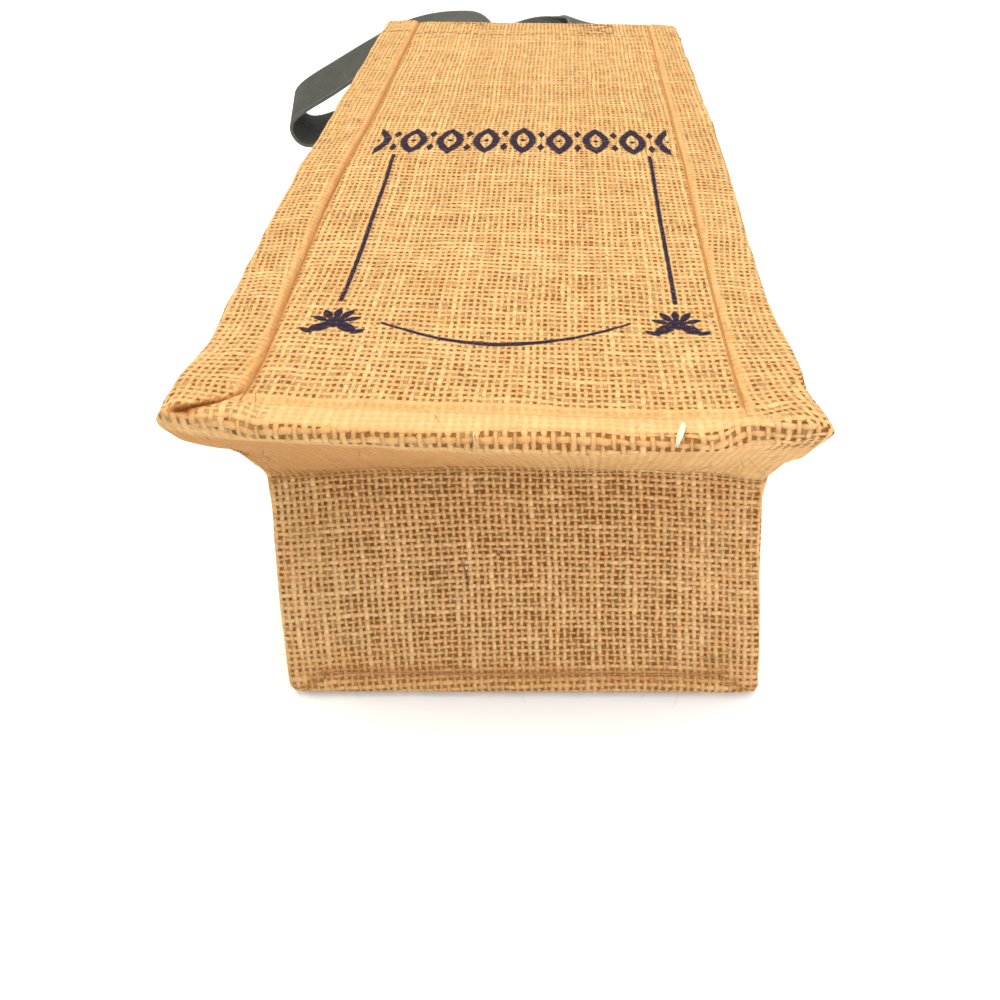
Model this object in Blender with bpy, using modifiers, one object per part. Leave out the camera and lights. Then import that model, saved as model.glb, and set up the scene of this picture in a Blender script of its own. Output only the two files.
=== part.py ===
"""A small burlap gift bag, empty and lying on its back with its bottom pushed in.

Five sewn pieces: a front and a back panel, one gusset strip that runs down one side,
across the bottom and up the other side, and two webbing handles sewn inside the mouth.
The pieces are worked out on a straight, upright-sided bag that lies along +Y with its
bottom at y = 0, and lie() then leans and skews them the way the soft bag really lies.
Lengths are in metres.
"""
import math

import bmesh
import bpy
from mathutils import Vector

MM = 0.001

# The bag, to the middle of the cloth
CLOTH = 1.5 * MM  # thickness of the burlap with its backing
SEAM_GAP = 0.3 * MM  # between the pieces that are sewn edge to edge
HALF_WIDTH = 71.5 * MM  # from the middle to the folded side edges
CREASE_HALF_WIDTH = 70.6 * MM  # the same at the ends of the bottom's crease
FLOOR_HALF_WIDTH = 69.3 * MM  # and where the bag meets the floor
HEIGHT = 330 * MM  # from the bottom to the mouth
DEPTH = 98.3 * MM  # how high the front panel lies
NOSE_OUT = 1.2 * MM  # how far the front bottom edge stands out past the back one
FOLD_RADIUS = 3.2 * MM  # of the folded edges
CREASE_RADIUS = 3.0 * MM  # of the creases that run along the middle of the gusset

# The gusset strip: how it is pushed in, and how far it wraps on to each panel
BOTTOM_CREASE_IN = 37.2 * MM
CREASE_HEIGHT = 54.8 * MM
CREASE_TILT = 2.0 * MM  # how far the bottom crease is higher at the right and lower at the left
SIDE_CREASE_IN = 33 * MM
SIDE_RAMP = 110 * MM  # over this length the side crease reaches its full depth
SHEAR_LENGTH = 190 * MM  # over this length the pushed-in bottom stops pulling at the sides
FRONT_WRAP_BOTTOM = 7.5 * MM
BACK_WRAP = 4 * MM
CORNER_ROUND = 4 * MM  # half the width of the turn from the bottom into a side
# The front panel's seams and the bag's folded edges, out from the middle, in mm
FRONT_ROWS = (
    # from the bottom, left edge, left seam, right seam, right edge
    (0, 75.4, 57.1, 58.3, 76.0),
    (15, 72.8, 57.1, 58.3, 73.2),
    (30, 71.4, 56.2, 59.0, 72.2),
    (50, 71.6, 55.5, 59.5, 72.5),
    (80, 73.0, 55.5, 60.2, 72.6),
    (120, 74.6, 55.7, 60.9, 72.9),
    (175, 75.5, 57.2, 61.4, 73.5),
    (330, 74.0, 57.0, 60.4, 73.0),
)
LEFT_EDGE, LEFT_SEAM, RIGHT_SEAM, RIGHT_EDGE = 1, 2, 3, 4

# How the soft bag lies
LEAN = 10.8 * MM  # how far the front panel lies to the left of the back one
FLOOR_TURN = 3.5 * MM  # how far the right floor corner is back and the left one forward
FLOOR_BACK = 0.3 * MM  # how far the whole floor edge is back
DISH = 2.2 * MM  # how far the front panel sags
DISH_LENGTH = 150 * MM
EAR_RISE_LEFT = 3.0 * MM  # how far each front bottom corner stands up
EAR_RISE_RIGHT = 5.6 * MM
EAR_LENGTH = 70 * MM
EAR_START = 50 * MM  # from here out the front bottom edge curves back
EAR_BACK = 5.0 * MM  # to this far behind its middle, at the corner
EAR_ROUND = 3.0 * MM  # how much larger the fold's radius is at the corner
EAR_ROUND_LENGTH = 26 * MM

# The hem at the mouth, turned in all round
HEM = 25 * MM
HEM_TURN = 1.0 * MM  # radius of the turn, to the middle of the cloth

# The handles
STRAP_WIDTH = 25 * MM
STRAP = 2.0 * MM  # thickness
STRAP_SEWN = 22 * MM  # length sewn inside the mouth
STRAP_AT = 32 * MM  # from the middle of the bag to the middle of each end
STRAP_STEPS = 5  # steps between two points of a handle's route
STRAP_OFF_FLOOR = 1.1 * MM  # the back handle's lower edge above the floor, where it stands upright

# Steps of the grids
FOLD_STEPS = 5
CREASE_STEPS = 3
WALL_STEPS = 3
HEM_STEPS = 4
SIDE_STATIONS = (0, 4, 15, 32, 54, 80, 110, 145, 185, 225, 265, 300)  # mm from the corner
BOTTOM_STATIONS = (-67.5, -60, -48, -30, 0, 30, 48, 60, 67.5)  # mm from the middle
PANEL_COLUMNS = 9

BURLAP = (0.62, 0.41, 0.20)
BURLAP_ROUGHNESS = 0.9
WEBBING = (0.030, 0.031, 0.028)
WEBBING_ROUGHNESS = 0.75


def ease(value, start, end):
    """0 before start, 1 after end, and a smooth rise between them."""
    part = min(max((value - start) / (end - start), 0.0), 1.0)
    return part * part * (3 - 2 * part)


def lie(point):
    """Moves a point of the straight bag to where it is on the leaning, skewed one."""
    x, y, z = point
    low = 1 - z / DEPTH
    turn = FLOOR_BACK + FLOOR_TURN * x / HALF_WIDTH
    along = turn * low * (1 - ease(y, 0, HEIGHT))
    return Vector((x - LEAN * (1 - low), y - HEIGHT / 2 + along, z))


def front_height(x, y):
    """The height of the front panel's cloth: a shallow dish with raised bottom corners."""
    dish = DISH * math.sin(math.pi * min(max(y, 0), DISH_LENGTH) / DISH_LENGTH)
    rise = EAR_RISE_RIGHT if x > 0 else EAR_RISE_LEFT
    fade = max(0.0, 1 - max(y, 0) / EAR_LENGTH) ** 2
    return DEPTH - dish + rise * min(abs(x) / HALF_WIDTH, 1.0) ** 3 * fade


def front_row(y, column):
    """A distance out from the middle, on a smooth curve through the rows of FRONT_ROWS."""
    far = y / MM
    index = 1
    while index < len(FRONT_ROWS) - 1 and FRONT_ROWS[index][0] < far:
        index += 1
    low, high = FRONT_ROWS[index - 1], FRONT_ROWS[index]
    before, after = FRONT_ROWS[max(index - 2, 0)], FRONT_ROWS[min(index + 1, len(FRONT_ROWS) - 1)]
    span = high[0] - low[0]
    t = min(max((far - low[0]) / span, 0.0), 1.0)
    slope_low = (high[column] - before[column]) / (high[0] - before[0]) * span
    slope_high = (after[column] - low[column]) / (after[0] - low[0]) * span
    rest = 1 - t
    value = low[column] * (1 + 2 * t) * rest * rest + high[column] * (3 - 2 * t) * t * t
    return (value + slope_low * t * rest * rest - slope_high * t * t * rest) * MM


def edge_out(side, y):
    """How far the folded side edge is from the middle of the bag."""
    return front_row(y, LEFT_EDGE if side < 0 else RIGHT_EDGE)


def seam_out(side, y):
    """How far the seam between the front panel and the gusset is from the middle."""
    return front_row(y, LEFT_SEAM if side < 0 else RIGHT_SEAM)


def overshoot(sharpness, radius):
    """How far past a rounded fold its two straight walls would meet."""
    return radius * (1 / math.tan(sharpness / 2) - 1)


def side_rails(side, y):
    """The five corners of the gusset's section on a side, as (out, y, z)."""
    top = front_height(side * HALF_WIDTH, y)
    inward = SIDE_CREASE_IN * ease(y, 0, SIDE_RAMP)
    pushed = BOTTOM_CREASE_IN * (1 - ease(y, 0, SHEAR_LENGTH))
    crease = CREASE_HEIGHT + side * CREASE_TILT * (1 - ease(y, 0, SHEAR_LENGTH))
    upper = math.acos(inward / math.hypot(inward, pushed, top - crease))
    lower = math.acos(inward / math.hypot(inward, pushed, crease))
    edge = edge_out(side, y) + overshoot(upper, FOLD_RADIUS)
    floor_edge = FLOOR_HALF_WIDTH + overshoot(lower, FOLD_RADIUS)
    seam_y = max(y, FRONT_WRAP_BOTTOM + y / 2)
    seam = seam_out(side, seam_y)
    return [
        Vector((seam, seam_y, front_height(side * seam, seam_y))),
        Vector((edge, y + EAR_BACK * (1 - ease(y, 0, EAR_LENGTH)), top)),
        Vector((CREASE_HALF_WIDTH - inward, y + pushed, crease)),
        Vector((floor_edge, y, CLOTH / 2)),
        Vector((FLOOR_HALF_WIDTH - BACK_WRAP, max(y, BACK_WRAP), CLOTH / 2)),
    ]


def bottom_rails(x):
    """The same five corners where the gusset crosses the bottom, as (x, y, z)."""
    top = front_height(x, 0)
    crease = CREASE_HEIGHT + CREASE_TILT * x / HALF_WIDTH
    upper = math.atan2(top - crease, BOTTOM_CREASE_IN + NOSE_OUT)
    lower = math.atan2(crease, BOTTOM_CREASE_IN)
    side = 1 if x > 0 else -1
    nose = EAR_BACK * ease(abs(x), EAR_START, HALF_WIDTH) - NOSE_OUT - overshoot(upper, FOLD_RADIUS)
    floor_edge = -overshoot(lower, FOLD_RADIUS)
    floor_x = x * FLOOR_HALF_WIDTH / HALF_WIDTH
    # Past the seam's corner the wrap gathers into the mitre
    corner = seam_out(side, FRONT_WRAP_BOTTOM)
    straight = corner - CORNER_ROUND
    past = max(abs(x) - straight, 0) / (HALF_WIDTH - straight)
    seam = side * (min(abs(x), straight) + (corner - straight) * past)
    back = side * min(abs(floor_x), FLOOR_HALF_WIDTH - BACK_WRAP - CORNER_ROUND / 4 * (1 - past))
    return [
        Vector((seam, FRONT_WRAP_BOTTOM, front_height(seam, FRONT_WRAP_BOTTOM))),
        Vector((x, nose, top)),
        Vector((x * CREASE_HALF_WIDTH / HALF_WIDTH, BOTTOM_CREASE_IN, crease)),
        Vector((floor_x, floor_edge, CLOTH / 2)),
        Vector((back, BACK_WRAP, CLOTH / 2)),
    ]


def corner_rails(side):
    """The corner station: between the last one of the bottom and the first of the side."""
    flat = bottom_rails(side * (HALF_WIDTH - CORNER_ROUND))
    rails = side_rails(side, 0)
    rails[1].y = (flat[1].y + rails[1].y) / 2
    rails[2].x -= CORNER_ROUND / 4
    rails[3].y = flat[3].y * 0.6
    return rails


def turn(rails, index, radius, steps):
    """The rounded corner at one of a section's inner points."""
    corner, before, after = rails[index], rails[index - 1], rails[index + 1]
    into, out = (before - corner).normalized(), (after - corner).normalized()
    half = into.angle(out) / 2
    # A wall has a turn at each end, but the two outer strips only at one
    room_before = (before - corner).length * (0.9 if index == 1 else 0.45)
    room_after = (after - corner).length * (0.9 if index == len(rails) - 2 else 0.45)
    reach = min(radius / math.tan(half), room_before, room_after)
    radius = reach * math.tan(half)
    centre = corner + (into + out).normalized() * (radius / math.sin(half))
    first, last = corner + into * reach - centre, corner + out * reach - centre
    return [centre + first.slerp(last, step / steps) * radius for step in range(steps + 1)]


def section(rails):
    """The gusset's section through its five corners, rounded at its two folds and its crease."""
    points = [rails[0]]
    corner = math.hypot(HALF_WIDTH - abs(rails[1].x), rails[1].y)
    ear = EAR_ROUND * (1 - ease(corner, 0, EAR_ROUND_LENGTH))
    points += turn(rails, 1, FOLD_RADIUS + ear, FOLD_STEPS)
    for index, radius, steps in ((2, CREASE_RADIUS, CREASE_STEPS), (3, FOLD_RADIUS, FOLD_STEPS)):
        arc = turn(rails, index, radius, steps)
        wall = points[-1]
        points += [wall.lerp(arc[0], step / WALL_STEPS) for step in range(1, WALL_STEPS)]
        points += arc
    points.append(rails[-1])
    return points


def inset(points, drop):
    """A section moved towards the inside of the bag."""
    moved = []
    for index, point in enumerate(points):
        ahead = points[min(index + 1, len(points) - 1)] - points[max(index - 1, 0)]
        inside = Vector((ahead.z, 0, -ahead.x)).normalized()
        moved.append(point + inside * drop)
    return moved


def hem_run():
    """(y, drop) down the turned-in hem, from the mouth's turn to the hem's end."""
    rows = []
    for step in range(HEM_STEPS + 1):
        angle = math.pi * step / HEM_STEPS
        rows.append((HEIGHT - HEM_TURN * (1 - math.sin(angle)), HEM_TURN * (1 - math.cos(angle))))
    rows.append((HEIGHT - HEM, 2 * HEM_TURN))
    return rows


def cloth(name, columns, thickness, material):
    """A sheet: a grid whose points are given column by column, thickened."""
    across, along = len(columns), len(columns[0])
    grid = bmesh.new()
    bmesh.ops.create_grid(grid, x_segments=across - 1, y_segments=along - 1, size=1)
    grid.verts.index_update()
    for vert in grid.verts:
        row, column = divmod(vert.index, across)
        vert.co = columns[column][row]
    mesh = bpy.data.meshes.new(name)
    grid.to_mesh(mesh)
    grid.free()
    mesh.shade_smooth()
    mesh.materials.append(material)
    sheet = bpy.data.objects.new(name, mesh)
    thicken = sheet.modifiers.new("Thickness", "SOLIDIFY")
    thicken.thickness = thickness
    thicken.offset = 0
    thicken.use_even_offset = True
    thicken.use_quality_normals = True
    return sheet


def gusset(material):
    """The strip down one side, across the bottom and up the other side."""
    stations = {}
    for side in (-1, 1):
        stations[side] = []
        for far in SIDE_STATIONS[1:]:
            stations[side].append((side_rails(side, far * MM), 0))
        for far, drop in hem_run():
            stations[side].append((side_rails(side, far), drop))
    columns = []
    for rails, drop in reversed(stations[-1]):
        columns.append([lie((-p.x, p.y, p.z)) for p in inset(section(rails), drop)])
    columns.append([lie((-p.x, p.y, p.z)) for p in section(corner_rails(-1))])
    for x in BOTTOM_STATIONS:
        columns.append([lie(p) for p in section(bottom_rails(x * MM))])
    columns.append([lie(p) for p in section(corner_rails(1))])
    for rails, drop in stations[1]:
        columns.append([lie(p) for p in inset(section(rails), drop)])
    return cloth("gusset", columns, CLOTH, material)


def front_panel(material):
    """The panel between the seams, with its hem."""
    start = FRONT_WRAP_BOTTOM + SEAM_GAP
    rows = [(start, 0)]
    rows += [(far * MM, 0) for far in SIDE_STATIONS[2:]]
    rows += hem_run()
    columns = []
    for column in range(PANEL_COLUMNS):
        part = column / (PANEL_COLUMNS - 1)
        points = []
        for y, drop in rows:
            left = -seam_out(-1, y) + SEAM_GAP
            right = seam_out(1, y) - SEAM_GAP
            x = left + (right - left) * part
            points.append(lie((x, y, front_height(x, y) - drop)))
        columns.append(points)
    return cloth("front_panel", columns, CLOTH, material)


def back_panel(material):
    """The flat panel that the bag lies on, with its hem."""
    edge = FLOOR_HALF_WIDTH - BACK_WRAP - SEAM_GAP
    start = BACK_WRAP + SEAM_GAP
    rows = [(start, 0)]
    rows += [(far * MM, 0) for far in SIDE_STATIONS[3::2]]
    rows += hem_run()
    columns = []
    for x in (-edge, -edge / 2, 0, edge / 2, edge):
        columns.append([lie((x, y, CLOTH / 2 + drop)) for y, drop in rows])
    return cloth("back_panel", columns, CLOTH, material)


def smooth_route(route):
    """A smooth curve through a handle's points, as (place, direction across the strap)."""
    smooth = []
    for index in range(len(route) - 1):
        before, after = route[max(index - 1, 0)], route[min(index + 2, len(route) - 1)]
        near = before, route[index], route[index + 1], after
        last = index == len(route) - 2
        for step in range(STRAP_STEPS + last):
            t = step / STRAP_STEPS
            weights = (
                (-t + 2 * t * t - t ** 3) / 2,
                (2 - 5 * t * t + 3 * t ** 3) / 2,
                (t + 4 * t * t - 3 * t ** 3) / 2,
                (-t * t + t ** 3) / 2,
            )
            place, across = Vector(), Vector()
            for weight, (at, wide) in zip(weights, near):
                place += weight * Vector(at)
                across += weight * Vector(wide)
            smooth.append((place * MM, across.normalized()))
    return smooth


def handle(name, route, material):
    """A strap of webbing along a route, with its width along the direction given there."""
    left, right = [], []
    for place, across in smooth_route(route):
        left.append(place - across * STRAP_WIDTH / 2)
        right.append(place + across * STRAP_WIDTH / 2)
    middle = [(a + b) / 2 for a, b in zip(left, right)]
    return cloth(name, [left, middle, right], STRAP, material)


def handle_routes():
    """Each handle's route: (x, y, z) in mm on the leaning bag, and the direction across the strap.

    The back handle stands on its edge on the floor past the mouth. The front one has
    flopped over the left end of the mouth.
    """
    mouth = (HEIGHT / 2) / MM
    inside = (HEIGHT / 2 - STRAP_SEWN) / MM
    at = STRAP_AT / MM
    layers = (CLOTH + 2 * HEM_TURN + SEAM_GAP + STRAP / 2) / MM
    top = (front_height(0, HEIGHT) + CLOTH / 2) / MM - layers
    lean = LEAN / MM
    edge = (STRAP_WIDTH / 2 + STRAP_OFF_FLOOR) / MM
    back = (
        ((-at, inside, layers), (1, 0, 0)),
        ((-at, mouth, layers), (1, 0, 0)),
        ((-at, mouth + 14, layers + 0.6), (1, 0, 0.12)),
        ((-at - 7, mouth + 40, edge - 2), (0.6, 0, 0.8)),
        ((-at - 20, mouth + 70, edge), (0, 0, 1)),
        ((-at - 26, mouth + 103, edge), (0, 0, 1)),
        ((-at - 6, mouth + 140, edge), (0, 0, 1)),
        ((3, mouth + 157, edge), (0, 0, 1)),
        ((at + 10, mouth + 138, edge), (0, 0, 1)),
        ((at + 28, mouth + 101, edge), (0, 0, 1)),
        ((at + 20, mouth + 70, edge), (0, 0, 1)),
        ((at + 7, mouth + 40, edge - 2), (-0.6, 0, 0.8)),
        ((at, mouth + 14, layers + 0.6), (-1, 0, 0.12)),
        ((at, mouth, layers), (-1, 0, 0)),
        ((at, inside, layers), (-1, 0, 0)),
    )
    front = (
        ((-at - lean, inside, top), (1, 0, 0)),
        ((-at - lean, mouth, top), (1, 0, 0)),
        ((-at - lean - 1, mouth + 14, top), (1, 0.1, 0)),
        ((-at - lean - 13, mouth + 36, top - 4), (0.75, 0.6, 0.25)),
        ((-86, mouth + 53, top - 16), (0.25, 0.85, 0.45)),
        ((-126, mouth + 58, top - 38), (0, 0.86, 0.51)),
        ((-157, mouth + 60, 37), (0, 0.86, 0.51)),
        ((-151, mouth + 61, 22), (0, 0.9, 0.43)),
        ((-122, mouth + 62, 30), (0, 0.9, 0.43)),
        ((-72, mouth + 62, 54), (0, 0.9, 0.43)),
        ((-24, mouth + 55, top - 18), (0, 0.9, 0.43)),
        ((at - lean - 8, mouth + 36, top - 5), (-0.7, 0.65, 0.2)),
        ((at - lean, mouth + 14, top), (-1, 0.1, 0)),
        ((at - lean, mouth, top), (-1, 0, 0)),
        ((at - lean, inside, top), (-1, 0, 0)),
    )
    return {"handle_front": front, "handle_back": back}


def plain_material(name, colour, roughness):
    material = bpy.data.materials.new(name)
    material.use_nodes = True
    shader = material.node_tree.nodes["Principled BSDF"]
    shader.inputs["Base Color"].default_value = (*colour, 1)
    shader.inputs["Roughness"].default_value = roughness
    shader.inputs["Metallic"].default_value = 0
    return material


def main():
    for old in list(bpy.data.objects):
        bpy.data.objects.remove(old, do_unlink=True)
    collection = bpy.data.collections.new("burlap_bag")
    bpy.context.scene.collection.children.link(collection)
    pieces = []
    for make, name in ((front_panel, "front"), (back_panel, "back"), (gusset, "gusset")):
        pieces.append(make(plain_material("burlap_" + name, BURLAP, BURLAP_ROUGHNESS)))
    for name, route in handle_routes().items():
        webbing = plain_material("webbing_" + name, WEBBING, WEBBING_ROUGHNESS)
        pieces.append(handle(name, route, webbing))
    for piece in pieces:
        collection.objects.link(piece)


main()
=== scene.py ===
"""Looks of the small burlap gift bag that lies empty on its back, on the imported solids.

The sheets are built like the solids, with finer folds and shifts of a few millimetres, and the
weave, print, stitching and fibres are added. Lengths are in mm until a mesh is made.
"""
import math
import random

import bpy
import numpy as np
from mathutils import Matrix, Vector, noise


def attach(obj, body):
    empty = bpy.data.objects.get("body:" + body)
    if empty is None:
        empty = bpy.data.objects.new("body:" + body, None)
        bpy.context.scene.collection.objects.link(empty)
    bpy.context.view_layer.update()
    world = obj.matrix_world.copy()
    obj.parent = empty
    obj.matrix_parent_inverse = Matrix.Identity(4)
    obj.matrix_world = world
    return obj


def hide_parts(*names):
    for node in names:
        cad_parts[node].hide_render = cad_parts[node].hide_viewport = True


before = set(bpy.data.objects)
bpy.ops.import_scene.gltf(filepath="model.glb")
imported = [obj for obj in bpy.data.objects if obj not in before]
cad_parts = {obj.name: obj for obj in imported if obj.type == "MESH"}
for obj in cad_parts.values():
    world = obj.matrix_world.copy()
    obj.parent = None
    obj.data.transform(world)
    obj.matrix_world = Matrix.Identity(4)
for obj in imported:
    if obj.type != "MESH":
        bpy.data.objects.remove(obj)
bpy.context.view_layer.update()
random.seed(7)

# ---------------- the bag's sizes, in mm
CLOTH = 1.5
SEAM_GAP = 0.3
HALF_WIDTH = 71.5  # to the folded side edges
CREASE_HALF_WIDTH = 70.6
FLOOR_HALF_WIDTH = 69.3
HEIGHT = 330.0  # from bottom to mouth
DEPTH = 98.3  # to the front panel
NOSE_OUT = 1.2  # of the front bottom edge past the back one
FOLD_RADIUS = 3.2  # of the folded edges on the floor
TOP_RADIUS = 1.7  # of the upper ones
CREASE_RADIUS = 3.0
BOTTOM_CREASE_IN = 37.2
CREASE_HEIGHT = 54.8
CREASE_TILT = 2.0  # higher at the right and lower at the left
CREASE_BOW = 3.0  # and in the middle
SIDE_CREASE_IN = 33.0
SIDE_RAMP = 110.0  # length over which the side crease deepens
SHEAR_LENGTH = 190.0  # length over which the pushed-in bottom pulls at the sides
FRONT_WRAP_BOTTOM = 7.5  # of the strip on to the panels
BACK_WRAP = 4.0
CORNER_ROUND = 4.0  # half the width of the turn from the bottom into a side
FRONT_ROWS = (
    # from the bottom, left edge, left seam, right seam, right edge
    (0, 72.8, 55.8, 57.4, 75.3),
    (15, 72.0, 55.2, 57.2, 71.8),
    (30, 70.7, 55.6, 57.2, 72.3),
    (50, 72.2, 57.1, 57.6, 72.3),
    (80, 74.1, 58.6, 57.8, 72.2),
    (120, 74.9, 59.1, 58.2, 72.9),
    (175, 73.9, 57.3, 58.4, 73.4),
    (330, 73.2, 57.0, 58.6, 72.8),
)
LEFT_EDGE, LEFT_SEAM, RIGHT_SEAM, RIGHT_EDGE = 1, 2, 3, 4
LEAN = 10.8  # of the front panel to the left
FLOOR_TURN = 4.3  # the right floor corner is back and the left one forward
FLOOR_BACK = -0.3
DISH = 2.2  # sag of the front panel
DISH_LENGTH = 150.0
EAR_RISE_LEFT = 3.0  # of the front bottom corners
EAR_RISE_RIGHT = 5.6
EAR_LENGTH = 70.0
EAR_START = 50.0  # from here out the front bottom edge curves back
EAR_BACK_LEFT = 1.3  # by so much at each corner
EAR_BACK_RIGHT = 2.5
EAR_ROUND = 3.2  # added to the fold's radius there
EAR_ROUND_LENGTH = 26.0
HEM = 25.0
HEM_TURN = 1.0  # its radius
HEM_TURN_STEPS = 6
STRAP_WIDTH = 25.0
STRAP = 2.0
STRAP_SEWN = 22.0  # inside the mouth
STRAP_AT = 32.0  # from the bag's middle to each end's
STRAP_OFF_FLOOR = 1.1

# The walls draw in a little towards the floor at the bottom of the bag, left and right
DRAWN_LEFT = 2.0
DRAWN_RIGHT = 0.9
DRAWN_LENGTH = 150.0
# A sewn line across the bottom, a little above its lower edge, that slants into the corners
SEWN_LINE = 8.5
SEWN_LINE_CORNER = 3.0

# The weave: from one yarn to the next, across the panels and along them, and on the strip
PANEL_PITCH = (1.79, 2.25)
STRIP_PITCH = (2.07, 1.75)
UP = (0.0, 0.0, 1.0)


# ---------------- the bag's form
def ease(values, start, end):
    """0 up to start, 1 from end, smooth between; of a number or an array."""
    part = np.clip((values - start) / (end - start), 0, 1)
    return part * part * (3 - 2 * part)


def lie(point):
    """From a place on the straight bag to its place on the leaning, skewed one."""
    x, y, z = point
    low = 1 - z / DEPTH
    drawn = (DRAWN_RIGHT if x > 0 else DRAWN_LEFT) * (1 - ease(y, 0, DRAWN_LENGTH))
    x -= x / HALF_WIDTH * drawn * max(0.0, 1 - z / CREASE_HEIGHT)
    turned = FLOOR_BACK + FLOOR_TURN * x / HALF_WIDTH
    along = turned * low * (1 - ease(y, 0, HEIGHT))
    return Vector((x - LEAN * (1 - low), y - HEIGHT / 2 + along, z))


def front_height(x, y):
    dish = DISH * math.sin(math.pi * min(max(y, 0), DISH_LENGTH) / DISH_LENGTH)
    rise = EAR_RISE_RIGHT if x > 0 else EAR_RISE_LEFT
    fade = max(0.0, 1 - max(y, 0) / EAR_LENGTH) ** 2
    return DEPTH - dish + rise * min(abs(x) / HALF_WIDTH, 1.0) ** 3 * fade


def cubic(low, high, slope_low, slope_high, t):
    """From low at 0 to high at 1, with these slopes there."""
    rest = 1 - t
    value = low * (1 + 2 * t) * rest * rest + high * (3 - 2 * t) * t * t
    return value + slope_low * t * rest * rest - slope_high * t * t * rest


def front_row(far, column):
    """How far out from the middle, on a smooth curve through FRONT_ROWS."""
    index = 1
    while index < len(FRONT_ROWS) - 1 and FRONT_ROWS[index][0] < far:
        index += 1
    low, high = FRONT_ROWS[index - 1], FRONT_ROWS[index]
    before, after = FRONT_ROWS[max(index - 2, 0)], FRONT_ROWS[min(index + 1, len(FRONT_ROWS) - 1)]
    span = high[0] - low[0]
    t = min(max((far - low[0]) / span, 0.0), 1.0)
    slope_low = (high[column] - before[column]) / (high[0] - before[0]) * span
    slope_high = (after[column] - low[column]) / (after[0] - low[0]) * span
    return cubic(low[column], high[column], slope_low, slope_high, t)


def edge_out(side, y):
    return front_row(y, LEFT_EDGE if side < 0 else RIGHT_EDGE)


def seam_out(side, y):
    return front_row(y, LEFT_SEAM if side < 0 else RIGHT_SEAM)


def ear_back(side):
    return EAR_BACK_LEFT if side < 0 else EAR_BACK_RIGHT


def overshoot(sharpness, radius):
    """How far past a rounded fold its two straight walls would meet."""
    return radius * (1 / math.tan(sharpness / 2) - 1)


def side_rails(side, y):
    """The five corners of the strip's section on a side, as (out, y, z)."""
    top = front_height(side * HALF_WIDTH, y)
    inward = SIDE_CREASE_IN * ease(y, 0, SIDE_RAMP)
    pushed = BOTTOM_CREASE_IN * (1 - ease(y, 0, SHEAR_LENGTH))
    crease = CREASE_HEIGHT + side * CREASE_TILT * (1 - ease(y, 0, SHEAR_LENGTH))
    upper = math.acos(inward / math.hypot(inward, pushed, top - crease))
    lower = math.acos(inward / math.hypot(inward, pushed, crease))
    edge = edge_out(side, y) + overshoot(upper, TOP_RADIUS)
    floor_edge = FLOOR_HALF_WIDTH + overshoot(lower, FOLD_RADIUS)
    seam_y = max(y, FRONT_WRAP_BOTTOM + y / 2)
    seam = seam_out(side, seam_y)
    return [
        Vector((seam, seam_y, front_height(side * seam, seam_y))),
        Vector((edge, y + ear_back(side) * (1 - ease(y, 0, EAR_LENGTH)), top)),
        Vector((CREASE_HALF_WIDTH - inward, y + pushed, crease)),
        Vector((floor_edge, y, CLOTH / 2)),
        Vector((FLOOR_HALF_WIDTH - BACK_WRAP, max(y, BACK_WRAP), CLOTH / 2)),
    ]


def bottom_rails(x):
    """The same five corners where the strip crosses the bottom, as (x, y, z)."""
    across = x / HALF_WIDTH
    top = front_height(x, 0)
    crease = CREASE_HEIGHT + CREASE_TILT * x / HALF_WIDTH + CREASE_BOW * max(0.0, 1 - across ** 2)
    upper = math.atan2(top - crease, BOTTOM_CREASE_IN + NOSE_OUT)
    lower = math.atan2(crease, BOTTOM_CREASE_IN)
    side = 1 if x > 0 else -1
    nose = ear_back(side) * ease(abs(x), EAR_START, HALF_WIDTH) - NOSE_OUT - overshoot(upper, TOP_RADIUS)
    floor_edge = -overshoot(lower, FOLD_RADIUS)
    floor_x = x * FLOOR_HALF_WIDTH / HALF_WIDTH
    # Past the seam's corner the wrap gathers into the mitre
    corner = seam_out(side, FRONT_WRAP_BOTTOM)
    straight = corner - CORNER_ROUND
    past = max(abs(x) - straight, 0) / (HALF_WIDTH - straight)
    seam = side * (min(abs(x), straight) + (corner - straight) * past)
    back = side * min(abs(floor_x), FLOOR_HALF_WIDTH - BACK_WRAP - CORNER_ROUND / 4 * (1 - past))
    return [
        Vector((seam, FRONT_WRAP_BOTTOM, front_height(seam, FRONT_WRAP_BOTTOM))),
        Vector((x, nose, top)),
        Vector((x * CREASE_HALF_WIDTH / HALF_WIDTH, BOTTOM_CREASE_IN, crease)),
        Vector((floor_x, floor_edge, CLOTH / 2)),
        Vector((back, BACK_WRAP, CLOTH / 2)),
    ]


def corner_rails(side):
    """The corner station: between the last one of the bottom and the first of the side."""
    flat = bottom_rails(side * (HALF_WIDTH - CORNER_ROUND))
    rails = side_rails(side, 0)
    rails[1].y = (flat[1].y + rails[1].y) / 2
    rails[2].x -= CORNER_ROUND / 4
    rails[3].y = flat[3].y * 0.6
    return rails


def turn(rails, index, radius, steps):
    """The rounded corner at one of a section's inner points."""
    corner, before, after = rails[index], rails[index - 1], rails[index + 1]
    into, out = (before - corner).normalized(), (after - corner).normalized()
    half = into.angle(out) / 2
    room_before = (before - corner).length * (0.9 if index == 1 else 0.45)
    room_after = (after - corner).length * (0.9 if index == len(rails) - 2 else 0.45)
    reach = min(radius / math.tan(half), room_before, room_after)
    radius = reach * math.tan(half)
    centre = corner + (into + out).normalized() * (radius / math.sin(half))
    first, last = corner + into * reach - centre, corner + out * reach - centre
    return [centre + first.slerp(last, step / steps) * radius for step in range(steps + 1)]


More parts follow.
